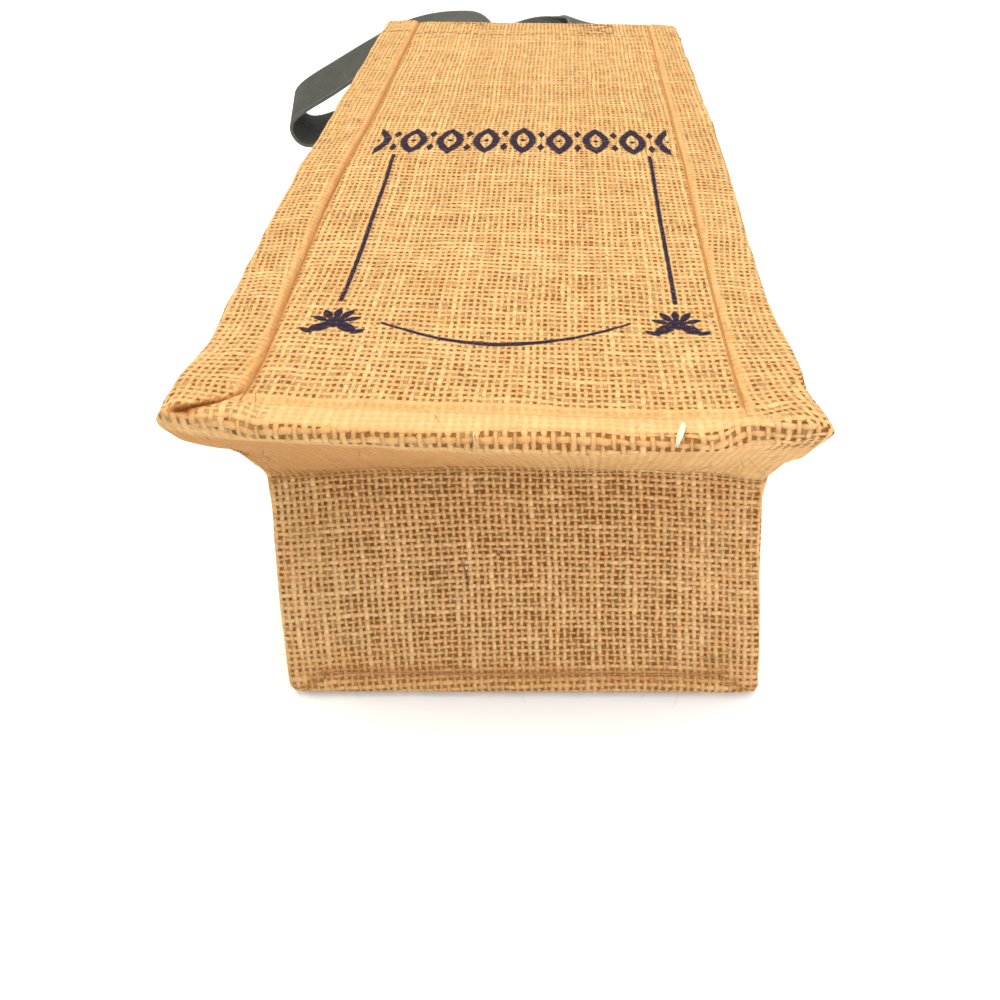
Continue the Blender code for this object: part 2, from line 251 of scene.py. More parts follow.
# Steps of a section: along the front wrap, of each turn and wall, and along the back wrap
WRAP_PLACES = (0.035, 0.08, 0.14, 0.22, 0.33, 0.46, 0.6, 0.74, 0.88)
TURN_STEPS = (9, 6, 8)
WALL_STEPS = 22
BACK_PLACES = (0.5,)


def fold_rows():
    """The rows of a section at its upper fold, its crease and its lower fold."""
    rows, before = [], 1 + len(WRAP_PLACES)
    for steps in TURN_STEPS:
        rows.append(before + steps / 2)
        before += steps + WALL_STEPS
    return rows


FOLD_ROWS = fold_rows()


def section(rails):
    """A fine section through the five rails, rounded at its folds and its crease."""
    points = [rails[0]]
    corner = math.hypot(HALF_WIDTH - abs(rails[1].x), rails[1].y)
    ear = EAR_ROUND * (1 - ease(corner, 0, EAR_ROUND_LENGTH))
    for index, radius in enumerate((TOP_RADIUS + ear, CREASE_RADIUS, FOLD_RADIUS), 1):
        arc = turn(rails, index, radius, TURN_STEPS[index - 1])
        wall = WRAP_PLACES if index == 1 else [step / WALL_STEPS for step in range(1, WALL_STEPS)]
        points += [points[-1].lerp(arc[0], place) for place in wall] + arc
    points += [points[-1].lerp(rails[-1], place) for place in BACK_PLACES]
    return points + [rails[-1]]


def inset(points, drop):
    """A section moved towards the inside of the bag."""
    moved = []
    for index, point in enumerate(points):
        ahead = points[min(index + 1, len(points) - 1)] - points[max(index - 1, 0)]
        moved.append(point + Vector((ahead.z, 0, -ahead.x)).normalized() * drop)
    return moved


def hem_run():
    """(y, drop) down the turned-in hem, from the mouth's turn to the hem's end."""
    angles = [math.pi * step / HEM_TURN_STEPS for step in range(HEM_TURN_STEPS + 1)]
    rows = [(HEIGHT - HEM_TURN * (1 - math.sin(a)), HEM_TURN * (1 - math.cos(a))) for a in angles]
    return rows + [(y, 2 * HEM_TURN) for y in np.linspace(HEIGHT - HEM_TURN - 2, HEIGHT - HEM, 10)]


def lengths_along(points):
    return np.cumsum([0] + [math.dist(p, q) for p, q in zip(points, points[1:])])


def smooth_through(places, values, wanted):
    """Values at the wanted places, on a curve through the given ones that never overshoots."""
    places, values, wanted = (np.asarray(x, float) for x in (places, values, wanted))
    gap = np.diff(places).reshape((-1,) + (1,) * (values.ndim - 1))
    step = np.diff(values, axis=0) / gap
    slope = np.zeros_like(values)
    slope[0], slope[-1] = step[0], step[-1]
    before, after = step[:-1], step[1:]
    with np.errstate(divide="ignore", invalid="ignore"):
        weight = (gap[:-1] + 2 * gap[1:]), (2 * gap[:-1] + gap[1:])
        mean = (weight[0] + weight[1]) / (weight[1] / before + weight[0] / after)
    slope[1:-1] = np.where(before * after > 0, mean, 0.0)
    index = np.clip(np.searchsorted(places, wanted, side="right") - 1, 0, len(places) - 2)
    shape = (-1,) + (1,) * (values.ndim - 1)
    width = gap.reshape(-1)[index].reshape(shape)
    t = ((wanted - places[index]) / gap.reshape(-1)[index]).reshape(shape)
    return cubic(values[index], values[index + 1], slope[index] * width, slope[index + 1] * width, t)


# ---------------- sheets of cloth
def wave(point, size, seed):
    """Smooth unevenness from about -1 to 1, over lengths of about size."""
    return noise.noise(Vector(point) / size + Vector((seed * 13.7, seed * 5.1, seed * 9.3))) * 1.6


def normals_of(grid):
    along = np.gradient(grid, axis=0)
    across = np.gradient(grid, axis=1)
    out = np.cross(along, across)
    return out / np.maximum(np.linalg.norm(out, axis=2, keepdims=True), 1e-9)


def add_object(name, data):
    thing = bpy.data.objects.new(name, data)
    bpy.context.collection.objects.link(thing)
    return thing


def cloth(name, grid, maps, marks, thickness, materials):
    """A sheet from a grid of points in mm.

    maps holds the weave's place for each corner of each face, as (u, v) grids by name.
    marks holds one value a point, for the material to read.
    """
    columns, rows = grid.shape[:2]
    at = np.arange(columns * rows).reshape(columns, rows)
    faces = np.stack([at[:-1, :-1], at[1:, :-1], at[1:, 1:], at[:-1, 1:]], axis=-1).reshape(-1, 4)
    mesh = bpy.data.meshes.new(name)
    mesh.from_pydata((grid.reshape(-1, 3) * 0.001).tolist(), [], faces.tolist())
    layer = mesh.uv_layers.new(name="cloth")
    corners = np.stack([maps[:-1, :-1, 0], maps[1:, :-1, 1], maps[1:, 1:, 1], maps[:-1, 1:, 0]], axis=2)
    layer.data.foreach_set("uv", corners.reshape(-1).astype(np.float32) * 0.001)
    for mark, values in marks.items():
        stored = mesh.attributes.new(mark, "FLOAT", "POINT")
        stored.data.foreach_set("value", np.asarray(values, np.float32).reshape(-1))
    mesh.shade_smooth()
    for material in materials:
        mesh.materials.append(material)
    sheet = add_object(name, mesh)
    thicken = sheet.modifiers.new("Thickness", "SOLIDIFY")
    thicken.thickness = thickness * 0.001
    thicken.offset = 0
    thicken.use_even_offset = False
    thicken.use_quality_normals = True
    thicken.material_offset = 1
    thicken.material_offset_rim = 0
    return sheet


def plain_maps(u, v):
    """Weave places where the cloth runs on from face to face."""
    both = np.stack([u, v], axis=-1)
    return np.stack([both, both], axis=2)


# ---------------- node arithmetic
class Value:
    """A number in a material's node tree, which can be reckoned with."""

    def __init__(self, tree, socket):
        self.tree, self.socket = tree, socket

    def __add__(self, other):
        return reckon(self.tree, "ADD", self, other)

    def __sub__(self, other):
        return reckon(self.tree, "SUBTRACT", self, other)

    def __rsub__(self, other):
        return reckon(self.tree, "SUBTRACT", other, self)

    def __mul__(self, other):
        return reckon(self.tree, "MULTIPLY", self, other)

    def __truediv__(self, other):
        return reckon(self.tree, "DIVIDE", self, other)


def feed(tree, socket, value):
    """Links a reckoned value to a socket, or sets the socket to a plain one."""
    if isinstance(value, Value):
        tree.links.new(value.socket, socket)
    else:
        socket.default_value = value


def feed_all(tree, node, inputs):
    """Feeds the inputs of a node, by number or name."""
    for name, value in inputs.items():
        feed(tree, node.inputs[name], value)


def made(tree, kind, inputs, output=0, **settings):
    """What comes out of a new node with these inputs and settings."""
    node = tree.nodes.new("ShaderNode" + kind)
    for name, value in settings.items():
        setattr(node, name, value)
    feed_all(tree, node, inputs)
    return Value(tree, node.outputs[output])


def reckon(tree, kind, *values):
    return made(tree, "Math", dict(enumerate(values)), operation=kind)


def larger(a, b):
    return reckon(a.tree, "MAXIMUM", a, b)


def smaller(a, b):
    return reckon(a.tree, "MINIMUM", a, b)


def floor_of(a):
    return reckon(a.tree, "FLOOR", a)


def size_of(a):
    return reckon(a.tree, "ABSOLUTE", a)


def root(a):
    return reckon(a.tree, "SQRT", larger(a, 0.0))


def sine(a):
    return reckon(a.tree, "SINE", a)


def rise(a, start, end):
    """0 up to start, 1 from end, smooth between; start may be the larger."""
    low, high = (0.0, 1.0) if start < end else (1.0, 0.0)
    ends = {"From Min": min(start, end), "From Max": max(start, end), "To Min": low, "To Max": high}
    return made(a.tree, "MapRange", {"Value": a, **ends}, "Result", interpolation_type="SMOOTHSTEP")


def blend(part, first, second):
    """first where part is 0, second where it is 1; numbers."""
    return made(part.tree, "Mix", {0: part, 2: first, 3: second})


def tint(part, first, second):
    """The same for colours."""
    first, second = (c if isinstance(c, Value) else (*c, 1) for c in (first, second))
    return made(part.tree, "Mix", {0: part, 6: first, 7: second}, 2, data_type="RGBA")


def spot_at(x, y, z=0.0):
    return made(x.tree, "CombineXYZ", {0: x, 1: y, 2: z})


def speckle(x, y, z=0.0, detail=0.0, rough=0.5):
    """Smooth noise around 0.5, one lump a unit."""
    inputs = {"Vector": spot_at(x, y, z), "Scale": 1.0, "Detail": detail, "Roughness": rough}
    return made(x.tree, "TexNoise", inputs)


def dice(x, y):
    """A random number from 0 to 1 for each whole x and y."""
    return made(x.tree, "TexWhiteNoise", {"Vector": spot_at(x, y)}, noise_dimensions="2D")


def mark_of(tree, name):
    """One of the marks that cloth() stores on a sheet."""
    return made(tree, "Attribute", {}, "Fac", attribute_name=name)


# ---------------- materials
STRAW = (0.645, 0.39, 0.168)
STRAW_PALE = (0.80, 0.55, 0.28)
STRAW_BROWN = (0.50, 0.25, 0.09)
STRAW_RED = (0.67, 0.32, 0.12)
# Painted shade in the holes, where the shaded inside shows, and paler on the fuzz in some holes
HOLE_SHADE = (0.205, 0.072, 0.011)
HOLE_FUZZ_SHADE = (0.42, 0.21, 0.07)
INK = (0.020, 0.013, 0.038)
STAIN = (0.16, 0.075, 0.03)
# Painted shade in seams, creases and grooves, under the front edge and towards the floor: its soft edge,
# then its deep part
PAINTED_SHADE_SOFT = (0.40, 0.165, 0.042)
PAINTED_SHADE_DEEP = (0.14, 0.035, 0.005)
WEB_DARK = (0.020, 0.022, 0.018)
WEB_PALE = (0.070, 0.076, 0.062)
WEB_EDGE = (0.13, 0.135, 0.12)
STAINS = ((0.9, 33.0, 1.1), (-4.7, 24.9, 0.8))  # on the strip's weave, in mm: place, place, radius


def cloth_material(name):
    """A new material, and the place on its cloth in mm."""
    material = bpy.data.materials.new(name)
    material.use_nodes = True
    tree = material.node_tree
    place = made(tree, "UVMap", {}, uv_map="cloth")
    u, v = (made(tree, "SeparateXYZ", {0: place}, axis) * 1000.0 for axis in (0, 1))
    return material, u, v


def finish(material, colour, height, distance, look):
    """Gives the shader its colour, its look, and bumps whose height is in units of distance."""
    tree = material.node_tree
    bump = made(tree, "Bump", {"Distance": distance, "Height": height})
    feed_all(tree, tree.nodes["Principled BSDF"], {"Base Color": colour, "Normal": bump, **look})
    return material


def yarn_top(off, chance, slub, half, pitch):
    """Of one yarn, at a place off its middle: how far in from its sides, 0 to 1, and how high."""
    wide = smaller((chance - 0.5) * 0.09 + (slub - 0.5) * 0.30 + half, 0.49)
    inward = root(1.0 - (off / wide) * (off / wide))
    return inward, inward * wide * (pitch * 0.8)


def yarn_weave(u, v, pitch_u, pitch_v, open_part):
    """A plain weave of uneven yarns: height in mm, fibre, tone, the yarn on top, clear holes."""
    a = u / pitch_u + (speckle(u / 38.0, v / 38.0, 1.3) - 0.5) * 0.9
    b = v / pitch_v + (speckle(u / 38.0, v / 38.0, 7.7) - 0.5) * 0.9
    i, j = floor_of(a), floor_of(b)
    chance_i, chance_j = dice(i, 3.0), dice(j, 8.0)
    slub_i = speckle(i * 5.17, v / 9.0)
    slub_j = speckle(u / 9.0, j * 4.31, 9.0)
    shift_i = speckle(i * 3.13, v / 3.4, 4.0) - 0.5
    shift_j = speckle(u / 3.4, j * 3.71, 6.0) - 0.5
    hair = speckle(u * 2.6, v * 2.6, 2.0, 2.0, 0.6) - 0.5
    half = 0.365 - open_part * 0.10
    off_i = a - i - 0.5 - shift_i * 0.36 + hair * 0.3
    off_j = b - j - 0.5 - shift_j * 0.36 - hair * 0.3
    inward_i, high_i = yarn_top(off_i, chance_i, slub_i, half, pitch_u)
    inward_j, high_j = yarn_top(off_j, chance_j, slub_j, half, pitch_v)
    # Each yarn swings over and under the others, and beside it the weave drops into a hole
    swing, hole = 0.26, -0.75
    even_i = reckon(u.tree, "PINGPONG", i, 1.0) * 2.0 - 1.0
    even_j = reckon(u.tree, "PINGPONG", j, 1.0) * 2.0 - 1.0
    high_i = blend(rise(inward_i, 0.0, 0.5), hole, high_i + sine(b * math.pi) * even_i * swing)
    high_j = blend(rise(inward_j, 0.0, 0.5), hole, high_j - sine(a * math.pi) * even_j * swing)
    top_i = reckon(u.tree, "GREATER_THAN", high_i, high_j)
    fibre_i = speckle(u * 4.0 + v * 0.9, v * 0.8, 2.0, 2.0, 0.7)
    fibre_j = speckle(u * 0.8, v * 4.0 + u * 0.9, 5.0, 2.0, 0.7)
    fibre = blend(top_i, fibre_j, fibre_i) - 0.5
    tone = blend(top_i, chance_j * 0.5 + slub_j, chance_i * 0.5 + slub_i) - 0.75
    # Some holes are clear, and fuzz fills others
    clear = dice(floor_of(a + 0.5), floor_of(b + 0.5)) + open_part * 0.85
    return larger(high_i, high_j), fibre, tone, top_i, rise(clear, 0.25, 1.15)


def burlap(name, pitch_u, pitch_v, print_ink=None, warp_highlight=0.0, stains=()):
    """Burlap, with its print or stains; its warp setting paints a highlight on the warp's crowns where the
    warp is on top, in the open parts.
    """
    material, u, v = cloth_material(name)
    open_part = mark_of(u.tree, "open")
    height, fibre, tone, top_u, clear = yarn_weave(u, v, pitch_u, pitch_v, open_part)
    height = larger(height, clear * -0.7)
    # Loose fibres curl across the weave
    strand = size_of(speckle(u * 0.8, v * 0.8, 31.0) - 0.5)
    strand = smaller(strand, size_of(speckle(u * 0.55, v * 0.55, 47.0) - 0.5) + 0.006)
    strand = rise(strand, 0.022, 0.008) * rise(speckle(u * 0.3, v * 0.3, 5.0), 0.48, 0.6)
    height = larger(height, strand * 0.9 - 0.75)
    # Where a turned edge lies behind the cloth, no hole shows and the weave is faint
    shut = rise(open_part, 0.30, 0.12)
    height = blend(shut, height, larger(height, 0.08) * 0.3 + 0.2)
    patches = speckle(u / 24.0, v / 24.0, 3.0, 2.0) - 0.5
    fine = speckle(u / 2.6, v / 2.6, 8.0, 1.0) - 0.5
    crown = rise(height, -0.1, 0.6)
    tone = tone * (0.7 - shut * 0.4) + patches * 0.3 + fine * 0.7 + fibre * 1.2
    # A painted highlight on the crowns of the warp where it is on top
    tone = tone + top_u * crown * rise(open_part, 0.6, 0.9) * warp_highlight + 0.46
    colour = tint(rise(tone, 0.4, 1.15), tint(rise(tone, -0.3, 0.5), STRAW_BROWN, STRAW), STRAW_PALE)
    ruddy = rise(speckle(u / 7.0, v / 7.0, 21.0, 2.0), 0.52, 0.72)
    colour = tint(ruddy * 0.45, colour, STRAW_RED)
    # Paler where the cloth is worn on its folds, and a painted highlight along the top of the front edge
    wear_and_highlight = rise(mark_of(u.tree, "wear_and_highlight"), 0.0, 1.0)
    colour = tint(wear_and_highlight * 0.5, colour, STRAW_PALE)
    # Painted shade where the yarns dive under the next, and a painted highlight on their crowns, stronger in
    # the open parts
    wide = rise(open_part, 0.5, 0.6)
    light = crown * (wide * 0.22 + 0.38) + 0.66 - wide * 0.18
    colour = made(u.tree, "VectorMath", {0: colour, "Scale": light}, operation="SCALE")
    # Painted shade deep in the weave: dark where a hole shows the shaded inside, paler where fuzz fills it
    hole_shade = rise(height, -0.05, -0.6)
    colour = tint(hole_shade, colour, tint(rise(fibre + fine * 0.6, 0.0, 0.3), HOLE_SHADE, HOLE_FUZZ_SHADE))
    if print_ink is not None:
        taken = rise(height, -0.6, -0.2) * 0.3 + 0.7
        colour = tint(print_ink(u, v) * taken * rise(fibre + fine * 0.6, -0.42, -0.22), colour, INK)
    for place_u, place_v, radius in stains:
        away = root((u - place_u) * (u - place_u) + (v - place_v) * (v - place_v)) + fine * 0.8
        colour = tint(rise(away, radius, radius * 0.3) * 0.8, colour, STAIN)
    # Painted shade from the dark mark: in seams, creases and grooves, under the front edge and towards the
    # floor
    crease = mark_of(u.tree, "dark")
    colour = tint(rise(crease, 0.0, 0.5) * 0.8, colour, PAINTED_SHADE_SOFT)
    colour = tint(rise(crease, 0.4, 1.0) * 0.9, colour, PAINTED_SHADE_DEEP)
    look = {"Roughness": 0.9, "Specular IOR Level": 0.12}
    look |= {"Sheen Weight": 0.05, "Sheen Roughness": 0.5, "Sheen Tint": (0.95, 0.75, 0.5, 1)}
    return finish(material, colour, height + fibre * 0.18, 0.001, look)


# The print, in mm: its middle is off the panel's, and it runs up to the right with the weft
PRINT_MIDDLE = 2.2
PRINT_SLANT = 0.045
RULE_OUT = 44.7
RULE_FROM, RULE_TO = 58.5, 154.5
RULE_HALF = 0.62
# The arc between the palmettes: its lowest place, its bend and half its length
ARC_LOW = 37.4
ARC_BEND = 0.0096
ARC_HALF = 32.0
BAND_AT = 168.5
BAND_STEP = 13.2
BAND_STEPS_HALF = 4.0
# The palmette's middle, then its petals and leaves on one side: x, y, slope, half length, half width
PALMETTE_OUT, PALMETTE_AT = 44.0, 46.6
PALMETTE = (
    (0.0, 4.9, 90, 2.9, 1.05),
    (2.5, 4.3, 62, 3.0, 1.15),
    (4.2, 2.2, 24, 2.5, 1.05),
    (3.2, -1.9, -42, 4.3, 1.9),
    (6.6, -4.0, 34, 2.3, 0.95),
)


def petal(x, y, angle, long, wide):
    """Below 0 inside a pointed petal."""
    c, s = math.cos(math.radians(angle)), math.sin(math.radians(angle))
    along = (x * c + y * s) / long
    return size_of((y * c - x * s) / wide) + along * along - 1.0


def line_ink(distance, half):
    """The ink of a line, by the distance from its middle."""
    return rise(distance, half + 0.35, half - 0.2)


def print_of(u, v):
    """How much ink there is: two rules, an arc, a palmette at each lower corner and a band."""
    x = u - PRINT_MIDDLE
    y = v - u * PRINT_SLANT
    mirror = size_of(x)
    wobble = speckle(u / 3.0, v / 3.0, 12.0, 1.0) - 0.5
    ends = larger(larger(RULE_FROM - y, y - RULE_TO), 0.0)
    away = root((mirror - RULE_OUT) * (mirror - RULE_OUT) + ends * ends)
    rules = line_ink(away + wobble * 0.5, RULE_HALF)
    # The shallow arc, thinner at its ends
    past = larger(mirror - ARC_HALF, 0.0)
    taper = 0.88 - mirror * 0.013
    gap = size_of(y - (x * x * ARC_BEND + ARC_LOW)) + past * 2.0 + wobble * 0.45 - taper
    ink = larger(rules, line_ink(gap + 0.3, 0.3))
    # Five petals above two drooping leaves that curl at the tips
    across, up = mirror - PALMETTE_OUT, y - PALMETTE_AT
    outward = size_of(across)
    shape = petal(across, up - 0.6, 90, 3.0, 2.6)
    for place_x, place_y, angle, long, wide in PALMETTE:
        shape = smaller(shape, petal(outward - place_x, up - place_y, angle, long, wide))
    ink = larger(ink, rise(shape + wobble * 0.5, 0.2, -0.15))
    # Upright pointed ovals with a mark in each, dots and lozenges
    cell = reckon(u.tree, "PINGPONG", x + BAND_STEP * 10, BAND_STEP / 2)
    up = y - BAND_AT
    oval = size_of(up) / 12.5
    oval = cell / 4.9 + oval * oval - 1.0
    heart = cell / 2.2 + (up / 7.0) * (up / 7.0) - 1.0
    oval = larger(oval, 0.0 - heart)
    dot = cell + size_of(up) - 1.3
    lozenge = (BAND_STEP / 2 - cell) / 1.4 + size_of(size_of(up) - 6.5) / 3.6 - 1.0
    band = larger(smaller(smaller(oval, dot), lozenge), (mirror - BAND_STEP * BAND_STEPS_HALF) * 0.5)
    return larger(ink, rise(band + wobble * 0.3, 0.1, -0.08))


def webbing(name):
    """Black webbing: rows of fine ribs painted paler on their crowns as a highlight, with a smooth, paler
    edge.
    """
    material, u, v = cloth_material(name)
    i = floor_of(u / 1.25)
    rib = sine((u / 1.25 - i) * math.pi)
    odd = reckon(u.tree, "PINGPONG", i, 1.0)
    stitch = sine((v / 1.6 + dice(i, 2.0) * 0.15 + odd * 0.5) * math.pi * 2)
    grain = speckle(u * 3.0, v * 1.5, 1.0, 2.0, 0.6)
    height = rib * 0.28 + stitch * 0.1 * rib + (grain - 0.5) * 0.2
    # Paler on the crowns of the ribs: a painted highlight
    tone = rib * 0.5 + stitch * 0.12 + (grain - 0.5) * 0.9 + speckle(u / 9.0, v / 9.0, 5.0) * 0.3
    edge = rise(size_of(u), STRAP_WIDTH / 2 - 1.6, STRAP_WIDTH / 2 - 0.7)
    colour = tint(edge * 0.6, tint(rise(tone, 0.1, 1.0), WEB_DARK, WEB_PALE), WEB_EDGE)
    return finish(material, colour, height, 0.001, {"Roughness": 0.8, "Sheen Weight": 0.1})


def thread(name, dark, pale):
    """Loose fibre or sewing thread, with twist."""
    material, u, v = cloth_material(name)
    colour = tint(rise(speckle(u * 0.7, v * 2.0, 3.0, 2.0), 0.3, 0.7), dark, pale)
    twist = sine((u + v * 2.0) * 5.0)
    return finish(material, colour, twist, 0.0001, {"Roughness": 0.8, "Sheen Weight": 0.05})


# ---------------- small form
def hump(values, middle, half):
    return np.exp(-(((values - middle) / half) ** 2))


def uneven(points):
    """Gentle unevenness of the cloth, in three sizes."""
    flat = points.reshape(-1, 3)
    value = [0.40 * wave(p, 30, 1) + 0.22 * wave(p, 11, 2) + 0.10 * wave(p, 4.5, 3) for p in flat]
    return np.array(value).reshape(points.shape[:-1])


def lay(grid):
    return np.array([lie(p) for p in grid.reshape(-1, 3)]).reshape(grid.shape)


def sewn_height(x):
    return SEWN_LINE - (SEWN_LINE - SEWN_LINE_CORNER) * ease(np.abs(x), 56, 69)


# ---------------- the gusset strip
# Its stations: up a side from the corner, and across the bottom from the middle
SIDE_STATIONS = (4, 15, 32, 54, 80, 110, 145, 185, 225, 265, 300, HEIGHT - HEM_TURN)
BOTTOM_STATIONS = (-67.5, -60, -48, -30, 0, 30, 48, 60, 67.5)
HEM_START = HALF_WIDTH + HEIGHT - HEM_TURN  # from the middle of the bottom to the turn of the hem
HEM_WEAVE_ON = 0.8  # how far past that the hem's weave starts
# Its fine steps from the middle of the bottom: up to where, and how long
STRIP_STEPS = (
    (50, 1.9), (64, 1.0), (HALF_WIDTH, 0.6), (HALF_WIDTH + 6, 0.6),
    (HALF_WIDTH + 16, 1.0), (HALF_WIDTH + 70, 2.0), (HEM_START, 2.9),
)
# The crease at the left corner, where the end of the side is folded over the bottom: x, y
MITRE = (
    (-71.5, -0.4), (-69.4, 0.3), (-67.7, 1.2), (-65.3, 2.3), (-63.2, 3.6),
    (-60.7, 5.3), (-58.4, 7.2), (-57.0, 9.3), (-55.6, 11.5),
)


def steps_between(start, end, step):
    count = max(1, round((end - start) / step))
    return [start + (end - start) * k / count for k in range(count)]


def on_side(side, points):
    """Points of a section, as (out, y, z), on their side of the bag."""
    return [Vector((side * p.x, p.y, p.z)) for p in points]


def strip_section(place):
    """The section at a place along the strip, counted from the middle of the bottom."""
    side = -1 if place < 0 else 1
    far = abs(place) - HALF_WIDTH
    if far < 0:
        return section(bottom_rails(place))
    return on_side(side, section(side_rails(side, far) if far else corner_rails(side)))


def strip_grid():
    """The strip down the left side, across the bottom and up the right, before it leans."""
    ends = [HALF_WIDTH] + [HALF_WIDTH + far for far in SIDE_STATIONS]
    known = [-place for place in reversed(ends)] + list(BOTTOM_STATIONS) + ends
    half, start = [], 0
    for end, step in STRIP_STEPS:
        half += steps_between(start, end, step)
        start = end
    places = [-x for x in reversed(half[1:])] + half
    corner_at = [places.index(-HALF_WIDTH), places.index(HALF_WIDTH)]
    grid = smooth_through(known, np.array([strip_section(place) for place in known]), places)
    # The hem turns in at both ends
    run = hem_run()
    left, right = (
        np.array([on_side(side, inset(section(side_rails(side, y)), drop)) for y, drop in run])
        for side in (-1, 1)
    )
    grid = np.concatenate([left[::-1], grid, right])
    far = HEM_START + (HEM_WEAVE_ON + lengths_along(run))
    places = np.concatenate([-far[::-1], places, far])
    return grid, places, [index + len(run) for index in corner_at]


def strip_maps(grid, places, corner_at):
    """The weave's places, along the strip and across it: one chart each for sides and bottom."""
    count, depth = grid.shape[:2]
    top, crease, floor_row = FOLD_ROWS
    share = np.interp(np.arange(depth), [0, top, crease, floor_row, depth - 1], [0, 0, 1, 0, 0])
    push = BOTTOM_CREASE_IN * (1 - ease(np.abs(places) - HALF_WIDTH, 0, SHEAR_LENGTH))
    u_side = np.sign(places)[:, None] * (grid[:, :, 1] - push[:, None] * share + HALF_WIDTH)
    hem = np.abs(places) > HEM_START
    u_side[hem] = places[hem][:, None]
    u_bottom = grid[:, :, 0]
    step = np.linalg.norm(np.diff(grid, axis=1), axis=2)

    def across(u):
        move = np.sqrt(np.maximum(step ** 2 - np.diff(u, axis=1) ** 2, 0.2 * step ** 2))
        v = np.concatenate([np.zeros((count, 1)), np.cumsum(move, axis=1)], axis=1)
        return v - v[:, [int(crease)]]

    side = np.stack([u_side, across(u_side)], -1)
    bottom = np.stack([u_bottom, across(u_bottom)], -1)
    where = np.arange(count)[:, None, None]
    starts = np.where((where >= corner_at[0]) & (where < corner_at[1]), bottom, side)
    ends = np.where((where > corner_at[0]) & (where <= corner_at[1]), bottom, side)
    return np.stack([starts, ends], axis=2), np.cumsum(np.pad(step, ((0, 0), (1, 0))), axis=1)


def strip_open(x, rows, top, from_seam, past_fold, to_crease, side, upper_row):
    """How open the weave looks: shut over the turned edges and under the front edge."""
    nose = ease(past_fold - upper_row, 0, 0.8) * (1 - ease(past_fold, 1.2, 2.0))
    nose *= 0.6 - 0.06 * ease(-x, -10, 10) - 0.24 * ease(-x, 50, 60)
    nose = np.maximum(nose, 0.22 * ease(-x, 38, 52) * (from_seam > 0.8) * (past_fold < 0))
    tip = ease(x, 60, 66) * (1 - ease(past_fold, 9, 13)) * (rows > top - 4) * 0.7
    lower = ease(-to_crease / (11.0 - 5.0 * ease(x, 0, 60)), -1.0, 0.0)
    lower = lower * (0.66 - 0.14 * ease(np.abs(x), 30, 64))
    at_side = ease(from_seam, 1.2, 2.6) * 0.34 + 0.3 * (rows > top + 3)
    return np.maximum(np.maximum(nose, tip), lower) * (1 - side) + at_side * side


def left_mitre(x, y, past_fold, left):
    """The crease at the left corner: its groove, the lip beside it, and the painted shade in it."""
    line_x, line_y = np.array(MITRE).T
    off = (y - np.interp(x, line_x, line_y)) * 0.85
    fade = left * ease(x, -70.0, -67.5) * (1 - ease(x, -56.4, -55.4))
    fade = fade * (1 - ease(past_fold, -2.2, -0.9))
    groove = 0.6 * (hump(off, 0, np.where(off > 0, 0.5, 0.8)) * fade)
    lip = fade * (1 - ease(x, -62, -55.8))
    lip = 0.35 * lip * (off > 0) * (1 - hump(off, 0, 1.2)) * hump(off, 0, 6.0)
    dark = hump(off, -0.1, 1.1) * fade * (1 - 0.45 * ease(x, -62, -57.5))
    return groove, lip, dark


